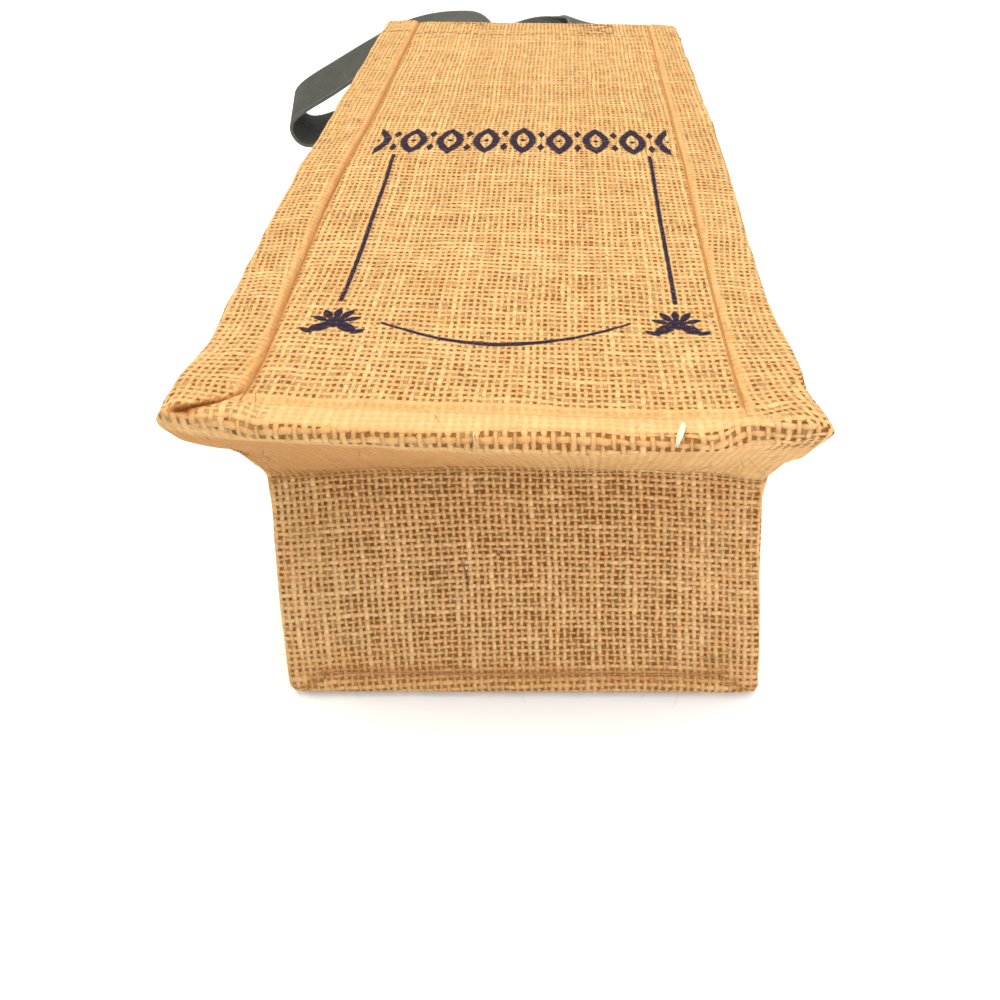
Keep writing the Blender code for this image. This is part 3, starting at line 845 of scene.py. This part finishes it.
def make_gusset(materials):
    """The strip, its laid points, the directions out of it and the places along it."""
    grid, places, corner_at = strip_grid()
    maps, from_seam = strip_maps(grid, places, corner_at)
    top, crease, floor_row = (int(row) for row in FOLD_ROWS)
    rows = np.arange(grid.shape[1])[None, :]
    x, y, z = grid[:, :, 0], grid[:, :, 1], grid[:, :, 2]
    past_fold = from_seam - from_seam[:, [top]]
    to_crease = from_seam[:, [crease]] - from_seam
    away = np.abs(places)[:, None] - HALF_WIDTH
    side = ease(away, -4.0, 5.0)
    left = (places < 0)[:, None]
    wrap = rows <= top + 3
    upper_row = -2.8 + 1.5 * ease(-x, -10, 10)
    opened = strip_open(x, rows, top, from_seam, past_fold, to_crease, side, upper_row)

    laid = lay(grid)
    out = -normals_of(laid)
    move = uneven(laid) * np.clip((laid[:, :, 2] - 3) / 8, 0, 1) * (0.3 + 0.7 * np.clip(from_seam / 3, 0, 1))
    # The seams: a soft step down to the panel, more on the left, with the folded edge standing proud
    at_side = ease(y, 8.5, 13.0) * (away > 0)
    proud = np.where(left, 0.6, 0.3) * at_side
    move += proud * ease(from_seam, 0.2, 1.8) * (1 - ease(from_seam, 6.0, 12.0))
    move -= (0.3 + 0.4 * at_side) * hump(from_seam, 0, 0.8)
    # The mitre's groove and lip, and the painted shade in its crease
    groove, lip, mitre = left_mitre(x, y, past_fold, left)
    move -= groove
    move += lip
    # The right corner is a soft swelling with arching yarns
    move += 0.8 * np.where(wrap, hump(x, 67, 6) * hump(y, 6.5, 4), 0)
    arch = np.where(wrap & ~left, hump(np.hypot(x - 62, (y - 2) * 1.4), 9.0, 1.2), 0)
    move -= 0.25 * arch
    # Fuller under both tips
    at_tip = ease(np.abs(x), 54, 69) * (1 - ease(away, 2, 20)) * ease(past_fold, 0, 4)
    full_left = 1.3 * hump(past_fold, 13, 8) - 2.2 * hump(past_fold, 38, 14)
    full_right = 1.6 * ease(past_fold, 35, 52) * ease(to_crease, -8, 0)
    full_right += hump(past_fold, 22, 10)
    move += at_tip * np.where(left, full_left, full_right)
    # The sewn line above the bottom's lower edge
    line_z = sewn_height(x)
    on_bottom = (away < 0) & (rows > crease) & (rows < floor_row)
    sewn = np.where(on_bottom, hump(z, line_z, 0.8), 0)
    move -= 0.45 * sewn
    move += 0.3 * np.where(on_bottom & (z < line_z), 1.0, 0.0) * ease(line_z - z, 0.3, 1.5)
    laid = laid + out * move[:, :, None]
    laid[:, :, 2] = np.maximum(laid[:, :, 2], CLOTH / 2)

    # Paler along the folds, from wear, and along the top of the front edge, a painted highlight
    folds = (hump(rows, top, 3) * (0.2 + 0.8 * side) + hump(rows, floor_row, 3)) * np.ones_like(x)
    band = (1 - side) * ease(from_seam, 0.3, 1.5) * (1 - ease(past_fold - upper_row, -0.6, 0.4))
    wear_and_highlight = np.maximum(folds * 0.35, band * (0.8 - 0.5 * ease(-x, 35, 60)))
    # Painted shade in the seams, the mitre crease and the sewn line, under the front edge and towards the
    # floor
    painted_seam_shade = at_side * np.where(left, 0.5 * hump(from_seam, 0, 1.2), 0.6 * hump(from_seam, 0, 0.8))
    painted_low_shade = (0.08 + 0.27 * ease(-x, -55, 55)) * (1 - side)
    painted_low_shade = painted_low_shade * ease(past_fold, 3, 6) * (to_crease > -2)
    painted_low_shade = painted_low_shade + (1 - side) * 0.22 * hump(past_fold, -0.3, 1.4)
    painted_low_shade = painted_low_shade + 0.21 * on_bottom * (1 - ease(z, 6, 20))
    dark = np.clip(1.4 * mitre + 0.3 * sewn + painted_seam_shade + painted_low_shade, 0, 1)
    marks = {"open": opened, "dark": dark, "wear_and_highlight": wear_and_highlight}
    return cloth("gusset_cloth", laid, maps, marks, CLOTH, materials), laid, out, places


# ---------------- the panels
EDGE_PLACES = (0, 0.45, 0.95, 1.5, 2.2, 3.1, 4.3)  # the front's fine steps, from its edges
TUCK = 0.5  # how far the front goes on under the strip


def panel_rows(start, step, fine=(), skipped=0):
    """(y, drop) of a panel's rows up to the end of its hem, and their lengths along the cloth.

    The fine places at the lower edge stand for the first skipped rows.
    """
    rows = [(y, 0.0) for y in steps_between(start, HEIGHT - HEM_TURN - step / 2, step)]
    rows = [(start + place, 0.0) for place in fine] + rows[skipped:] + hem_run()
    return rows, lengths_along(rows) + start


def make_front(materials):
    rows, lengths = panel_rows(FRONT_WRAP_BOTTOM - TUCK, 1.9, EDGE_PLACES, 3)
    middle = np.linspace(0, 1, 57)[1:-1]
    lines = []
    for y, drop in rows:
        left = -seam_out(-1, y) - TUCK
        right = seam_out(1, y) + TUCK
        inner = left + EDGE_PLACES[-1] + (right - left - 2 * EDGE_PLACES[-1]) * middle
        xs = [left + d for d in EDGE_PLACES] + list(inner) + [right - d for d in reversed(EDGE_PLACES)]
        lines.append([(x, y, front_height(x, y) - drop) for x in xs])
    grid = np.array(lines).transpose(1, 0, 2)
    u, y = grid[:, :, 0], grid[:, :, 1]
    from_left, from_right, from_low = u - u[:1], u[-1:] - u, y - y[0, 0]
    from_side = np.minimum(from_left, from_right)
    laid = lay(grid)
    near = np.minimum(from_side, from_low)
    move = uneven(laid) * (0.3 + 0.7 * np.clip(near / 3, 0, 1)) * ease(HEIGHT - y, 1, 8)
    move -= 0.5 * hump(from_left, 0, 1.6) + 0.5 * hump(from_right, 0, 1.0) + 0.45 * hump(from_low, 0, 1.2)
    # The left edge sinks a little beside the proud strip
    move -= 0.35 * hump(from_left, 1.0, 4.0)
    laid[:, :, 2] += move
    opened = 0.44 * ease(from_low, 3.0, 4.6) * ease(from_side, 0.6, 1.6)
    opened *= 1 - 0.14 * ease(y, 60, 220)
    # Painted shade along the seams beside the strip
    dark = 0.5 * hump(from_left, 0.3, 1.7) + 0.62 * hump(from_right, 0.4, 0.8)
    marks = {"open": opened, "dark": dark * ease(from_low, 1.5, 4.5), "wear_and_highlight": u * 0}
    maps = plain_maps(u, np.broadcast_to(lengths, u.shape))
    return cloth("front_cloth", laid, maps, marks, CLOTH, materials), laid


def make_back(materials):
    edge = FLOOR_HALF_WIDTH - BACK_WRAP - SEAM_GAP
    rows, lengths = panel_rows(BACK_WRAP + SEAM_GAP, 5.0)
    xs = np.linspace(edge, -edge, 31)
    grid = np.array([[(x, y, CLOTH / 2 + drop) for y, drop in rows] for x in xs])
    u, v = grid[:, :, 0], np.broadcast_to(lengths, grid.shape[:2])
    marks = {"open": u * 0 + 0.75, "dark": u * 0, "wear_and_highlight": u * 0}
    return cloth("back_cloth", lay(grid), plain_maps(u, v), marks, CLOTH, materials)


# ---------------- the handles
def handle_routes():
    """Each handle's route on the leaning bag, and the direction across the strap.

    The back handle stands on its edge on the floor past the mouth. The front one has
    flopped over the left end of the mouth.
    """
    mouth = HEIGHT / 2
    inside = HEIGHT / 2 - STRAP_SEWN
    at = STRAP_AT
    layers = CLOTH + 2 * HEM_TURN + SEAM_GAP + STRAP / 2
    top = front_height(0, HEIGHT) + CLOTH / 2 - layers
    lean = LEAN
    edge = STRAP_WIDTH / 2 + STRAP_OFF_FLOOR
    back = (
        ((-at, inside, layers), (1, 0, 0)),
        ((-at, mouth, layers), (1, 0, 0)),
        ((-at, mouth + 14, layers + 0.6), (1, 0, 0.12)),
        ((-at - 7, mouth + 40, edge - 2), (0.6, 0, 0.8)),
        ((-at - 20, mouth + 70, edge), (0, 0, 1)),
        ((-at - 26, mouth + 103, edge), (0, 0, 1)),
        ((-at - 6, mouth + 140, edge), (0, 0, 1)),
        ((3, mouth + 157, edge), (0, 0, 1)),
        ((at + 10, mouth + 138, edge), (0, 0, 1)),
        ((at + 28, mouth + 101, edge), (0, 0, 1)),
        ((at + 20, mouth + 70, edge), (0, 0, 1)),
        ((at + 7, mouth + 40, edge - 2), (-0.6, 0, 0.8)),
        ((at, mouth + 14, layers + 0.6), (-1, 0, 0.12)),
        ((at, mouth, layers), (-1, 0, 0)),
        ((at, inside, layers), (-1, 0, 0)),
    )
    front = (
        ((-at - lean, inside, top), (1, 0, 0)),
        ((-at - lean, mouth, top), (1, 0, 0)),
        ((-at - lean - 1, mouth + 14, top), (1, 0.1, 0)),
        ((-at - lean - 13, mouth + 36, top - 4), (0.75, 0.6, 0.25)),
        ((-86, mouth + 53, top - 16), (0.25, 0.85, 0.45)),
        ((-126, mouth + 58, top - 38), (0, 0.86, 0.51)),
        ((-157, mouth + 60, 37), (0, 0.86, 0.51)),
        ((-151, mouth + 61, 22), (0, 0.9, 0.43)),
        ((-122, mouth + 62, 30), (0, 0.9, 0.43)),
        ((-72, mouth + 62, 54), (0, 0.9, 0.43)),
        ((-24, mouth + 55, top - 18), (0, 0.9, 0.43)),
        ((at - lean - 8, mouth + 36, top - 5), (-0.7, 0.65, 0.2)),
        ((at - lean, mouth + 14, top), (-1, 0.1, 0)),
        ((at - lean, mouth, top), (-1, 0, 0)),
        ((at - lean, inside, top), (-1, 0, 0)),
    )
    return {"handle_front": front, "handle_back": back}


def strap_frame(route, steps):
    """A smooth curve through a handle's points: its places, and the directions across the strap."""
    places, acrosses = [], []
    for index in range(len(route) - 1):
        before, after = route[max(index - 1, 0)], route[min(index + 2, len(route) - 1)]
        last = index == len(route) - 2
        for kind, line in ((0, places), (1, acrosses)):
            first, low, high, end = (Vector(n[kind]) for n in (before, *route[index:index + 2], after))
            slopes = (high - first) / 2, (end - low) / 2
            line += [cubic(low, high, *slopes, step / steps) for step in range(steps + last)]
    return places, [across.normalized() for across in acrosses]


def make_handle(name, route, materials):
    places, acrosses = strap_frame(route, 14)
    length = lengths_along(places)
    across = np.linspace(-STRAP_WIDTH / 2, STRAP_WIDTH / 2, 13)
    grid = np.array([[p + w * s for p, w in zip(places, acrosses)] for s in across])
    u = np.broadcast_to(across[:, None], grid.shape[:2])
    v = np.broadcast_to(length, grid.shape[:2])
    strap = cloth(name + "_webbing", grid, plain_maps(u, v), {}, STRAP, materials)
    round_off = strap.modifiers.new("Edges", "BEVEL")
    round_off.width = 0.0005
    round_off.segments = 2
    round_off.limit_method = "ANGLE"
    return strap, float(length[-1])


# ---------------- threads and fibres
# Loose yarn ends at the front edge, and a brown fibre caught on the bottom: place, radius
CREAM_END = (
    ((32.3, -160.6, 99.8), 0.4),
    ((31.8, -162.6, 101.3), 0.6),
    ((31.2, -164.8, 101.9), 0.7),
    ((30.5, -166.9, 101.3), 0.62),
    ((30.0, -168.3, 99.9), 0.3),
)
SMALL_END = (
    ((-12.8, -163.6, 98.6), 0.2),
    ((-12.6, -165.9, 99.1), 0.26),
    ((-12.5, -167.3, 97.6), 0.28),
    ((-12.6, -167.5, 95.8), 0.24),
    ((-12.8, -166.9, 94.1), 0.15),
)
CAUGHT = (
    ((-19.4, -144.3, 35.6), 0.1),
    ((-18.4, -145.9, 34.2), 0.16),
    ((-17.4, -147.6, 32.2), 0.18),
    ((-17.0, -149.0, 30.4), 0.16),
    ((-17.2, -149.9, 28.9), 0.1),
)


def tubes(name, paths, sides, material):
    """Thin tubes along many paths in mm, each a list of points and one of radii, in one mesh."""
    points, faces, places = [], [], []
    for path, radii in paths:
        base = len(points)
        path = [Vector(p) for p in path]
        long = 0.0
        for index, (centre, radius) in enumerate(zip(path, radii)):
            ahead = (path[min(index + 1, len(path) - 1)] - path[max(index - 1, 0)]).normalized()
            first = ahead.orthogonal().normalized()
            second = ahead.cross(first)
            if index:
                long += (centre - path[index - 1]).length
            for side in range(sides):
                angle = 2 * math.pi * side / sides
                points.append(centre + (first * math.cos(angle) + second * math.sin(angle)) * radius)
                places.append((base * 0.37 + side, long))
            if index:
                for side in range(sides):
                    low, high = base + (index - 1) * sides, base + index * sides
                    after = (side + 1) % sides
                    faces.append((low + side, low + after, high + after, high + side))
        faces.append(tuple(base + side for side in reversed(range(sides))))
        faces.append(tuple(base + (len(path) - 1) * sides + side for side in range(sides)))
    mesh = bpy.data.meshes.new(name)
    mesh.from_pydata([tuple(p * 0.001) for p in points], [], faces)
    layer = mesh.uv_layers.new(name="cloth")
    corners = np.array([places[loop.vertex_index] for loop in mesh.loops], np.float32) * 0.001
    layer.data.foreach_set("uv", corners.reshape(-1))
    mesh.shade_smooth()
    mesh.materials.append(material)
    return add_object(name, mesh)


def stitches(path, outs, length, gap, lift, radius):
    """Stitches along a path on cloth: each rises out of it, runs on, and dips back in."""
    path = np.asarray(path, float)
    outs = np.broadcast_to(np.asarray(outs, float), path.shape)
    run = lengths_along(path)
    paths = []
    start = gap
    while start + length < run[-1]:
        at = start + np.array([0.0, 0.12, 0.3, 0.5, 0.7, 0.88, 1.0]) * length
        high = np.array([-0.5, 0.35, 0.8, 1.0, 0.8, 0.35, -0.5]) * radius + lift
        spot = np.stack([np.interp(at, run, path[:, k]) for k in range(3)], axis=1)
        out = np.stack([np.interp(at, run, outs[:, k]) for k in range(3)], axis=1)
        paths.append((spot + out * high[:, None], [radius * f for f in (0.7, 1, 1, 1, 1, 1, 0.7)]))
        start += length + gap
    return paths


# Stitches: length, gap, how high they lie, radius
BOTTOM_STITCH = (3.1, 0.9, 0.05, 0.17)
HEM_STITCH = (3.1, 0.9, 0.0, 0.22)
SQUARE_STITCH = (2.6, 0.7, 0.0, 0.22)
SQUARE_HALF = 9  # half the width of the crossed squares


def bottom_stitches(points, outs, places):
    """The sewn line across the bottom."""
    crease_row, floor_row = (int(row) for row in FOLD_ROWS[1:])
    line, line_out = [], []
    for k in np.flatnonzero(np.abs(places) < 68):
        off = np.abs(points[k, crease_row:floor_row, 2] - sewn_height(places[k]))
        row = crease_row + int(np.argmin(off))
        line.append(points[k, row] + outs[k, row] * CLOTH / 2)
        line_out.append(outs[k, row])
    return stitches(line, line_out, *BOTTOM_STITCH)


def mouth_stitches(points, outs, places, front_points):
    """The hem's line round the mouth, and a crossed square on each end of the front handle."""
    paths = []
    hem_y = HEIGHT - HEM + 3
    for edge in (-1, 1):
        k = int(np.argmin(np.abs(places - edge * (HALF_WIDTH + hem_y))))
        path = points[k] + outs[k] * CLOTH / 2
        clear = path[:, 2] > 1.5
        paths += stitches(path[clear][1:], outs[k][clear][1:], *HEM_STITCH)
    before_hem = front_points[len(front_points) // 2, :-len(hem_run()), 1]
    row = int(np.argmin(np.abs(before_hem - (hem_y - HEIGHT / 2))))
    paths += stitches(front_points[2:-2, row] + np.array([0, 0, CLOTH / 2]), UP, *HEM_STITCH)
    low, high = HEIGHT / 2 - STRAP_SEWN + 3, HEIGHT / 2 - 4
    up = front_height(0, HEIGHT) + CLOTH / 2
    for x in (-STRAP_AT - LEAN, STRAP_AT - LEAN):
        near, far = x - SQUARE_HALF, x + SQUARE_HALF
        corners = [(near, low), (far, low), (far, high), (near, high), (near, low), (far, high)]
        for start, end in [*zip(corners, corners[1:]), ((far, low), (near, high))]:
            start, end = np.array((*start, up)), np.array((*end, up))
            run = [start * (1 - t) + end * t for t in np.linspace(0, 1, 9)]
            paths += stitches(run, UP, *SQUARE_STITCH)
    return paths


def fibre_from(spot, out, length, radius, lean):
    """A stray fibre that springs from the cloth and bends back towards it."""
    out = Vector(out).normalized()
    away = Vector([random.uniform(-1, 1) for _ in range(3)]) * lean
    away = (away - out * (away.dot(out) - 1.0)).normalized()
    bend = Vector([random.uniform(-1, 1) for _ in range(3)])
    bend -= out * (bend.dot(out) + 0.15)
    path = []
    for k in range(6):
        t = k / 5
        place = Vector(spot) + away * (length * t) + bend * (length * 0.45 * t * t)
        path.append(Vector((place.x, place.y, max(place.z, 0.3))))
    return path, [radius * f for f in (1, 1, 0.9, 0.8, 0.6, 0.3)]


def stray_fibres(skins):
    """Stray fibres on (points, directions out, count), few of them on the front edge."""
    paths = []
    for points, outs, count in skins:
        for _ in range(count):
            i, j = random.randrange(points.shape[0]), random.randrange(points.shape[1])
            spot, out = points[i, j], outs[i, j]
            at_nose = spot[1] < -150 and spot[2] > 86
            if spot[2] < 4 or at_nose and random.random() < 0.85:
                continue
            upright = random.random() < 0.25
            length = random.uniform(1.2, 3.0) if upright else random.uniform(2.5, 7.0)
            radius = random.uniform(0.035, 0.07)
            paths.append(fibre_from(spot + out * CLOTH / 2, out, length, radius, 0.9 if upright else 5.0))
    return paths


def add_threads(name, paths, material, sides=5):
    piece = tubes(name, paths, sides, material)
    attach(piece, "root")


# ---------------- the pieces
front_cloth = burlap("burlap_front", *PANEL_PITCH, print_ink=print_of)
plain_cloth = burlap("burlap_plain", *PANEL_PITCH)
strip_cloth = burlap("burlap_strip", *STRIP_PITCH, warp_highlight=0.35, stains=STAINS)
strap_cloth = webbing("webbing_black")

front, front_points = make_front([front_cloth, plain_cloth])
back = make_back([plain_cloth, plain_cloth])
strip, *strip_skin = make_gusset([strip_cloth, strip_cloth])
for piece, node, flat in (
    (front, "front_panel", (0.118, 0.347)),
    (back, "back_panel", (0.130, 0.351)),
    (strip, "gusset", (0.139, 0.853)),
):
    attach(piece, "root")
    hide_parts(node)
for name, route in handle_routes().items():
    strap, length = make_handle(name, route, [strap_cloth, strap_cloth])
    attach(strap, "root")
    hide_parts(name)

straw_thread = thread("thread_straw", (0.50, 0.29, 0.11), (0.80, 0.56, 0.28))
cream_thread = thread("thread_cream", (0.90, 0.80, 0.60), (0.98, 0.94, 0.80))
pale_fibre = thread("fibre_pale", (0.66, 0.43, 0.20), (0.92, 0.72, 0.44))
straw_end = thread("thread_straw_end", (0.98, 0.70, 0.38), (1.0, 0.78, 0.46))
brown_thread = thread("thread_brown", (0.20, 0.09, 0.03), (0.36, 0.18, 0.06))

add_threads("stitches_bottom", bottom_stitches(*strip_skin), straw_thread)
add_threads("stitches_mouth", mouth_stitches(*strip_skin, front_points), straw_thread)
add_threads("yarn_ends", [tuple(zip(*CREAM_END))], cream_thread, 8)
add_threads("yarn_end_small", [tuple(zip(*SMALL_END))], straw_end)
add_threads("fibre_caught", [tuple(zip(*CAUGHT))], brown_thread)
# Stray fibres on the outsides of the front and the strip
front_skin = front_points, normals_of(front_points)
on_front = [grid[2:-2, 2:-16] for grid in front_skin]
on_strip = [grid[12:-12] for grid in strip_skin[:2]]
strays = stray_fibres(((*on_front, 450), (*on_strip, 1000)))
add_threads("stray_fibres", strays, pale_fibre, 3)

# ---------------- floor, light and camera
FLOOR = 12  # half the floor's width, in m
FLOOR_COLOUR = (0.87, 0.94, 1.0, 1)
SKY_LOW, SKY_UP = 0.4, 1.03  # the sky's light at the horizon, and how much more there is overhead
# The camera, fitted to the photo: its place in m, and its turns in degrees
CAMERA_PLACE = (0.00079, -0.3016, 0.2097)
YAW, TILT, ROLL = (math.radians(x) for x in (3.8, 43.66, -0.24))
LENS, SENSOR = 29.46, 36
SHIFT_X, SHIFT_Y = 0.0055, 0.001

mesh = bpy.data.meshes.new("floor")
corners = [(-FLOOR, -FLOOR, 0), (FLOOR, -FLOOR, 0), (FLOOR, FLOOR, 0), (-FLOOR, FLOOR, 0)]
mesh.from_pydata(corners, [], [(0, 1, 2, 3)])
white = bpy.data.materials.new("floor")
white.use_nodes = True
tree = white.node_tree
feed_all(tree, tree.nodes["Principled BSDF"], {"Base Color": FLOOR_COLOUR, "Roughness": 0.9})
mesh.materials.append(white)
floor = add_object("floor", mesh)

# White light from all round, stronger from above
world = bpy.data.worlds.new("studio")
world.use_nodes = True
tree = world.node_tree
up = made(tree, "SeparateXYZ", {0: made(tree, "TexCoord", {}, "Generated")}, 2)
light = larger(up, 0.0) * SKY_UP + SKY_LOW
feed_all(tree, tree.nodes["Background"], {"Color": (1, 1, 1, 1), "Strength": light})
bpy.context.scene.world = world
bpy.context.scene.view_settings.view_transform = "Standard"


def lamp(name, place, target, size, power, colour):
    """A round soft lamp that looks at its target, in m and W."""
    data = bpy.data.lights.new(name, "AREA")
    data.shape = "DISK"
    data.size = size
    data.energy = power
    data.color = colour
    light = add_object(name, data)
    light.location = place
    light.rotation_euler = (Vector(target) - Vector(place)).to_track_quat("-Z", "Y").to_euler()


lamp("key", (-0.25, 0.15, 1.6), (0, 0, 0), 1.0, 21.5, (1.0, 0.88, 0.60))
lamp("fill", (0.36, -0.44, 0.13), (0.0, -0.165, 0.06), 0.2, 0.85, (1.0, 0.80, 0.72))

camera_data = bpy.data.cameras.new("camera")
camera_data.lens = LENS
camera_data.sensor_width = SENSOR
camera_data.shift_x = SHIFT_X
camera_data.shift_y = SHIFT_Y
camera_data.clip_start = 0.01
camera = add_object("camera", camera_data)
turned = Matrix.Translation(CAMERA_PLACE)
for angle, axis in ((YAW, "Z"), (math.pi / 2 - TILT, "X"), (ROLL, "Z")):
    turned = turned @ Matrix.Rotation(angle, 4, axis)
camera.matrix_world = turned
bpy.context.scene.camera = camera
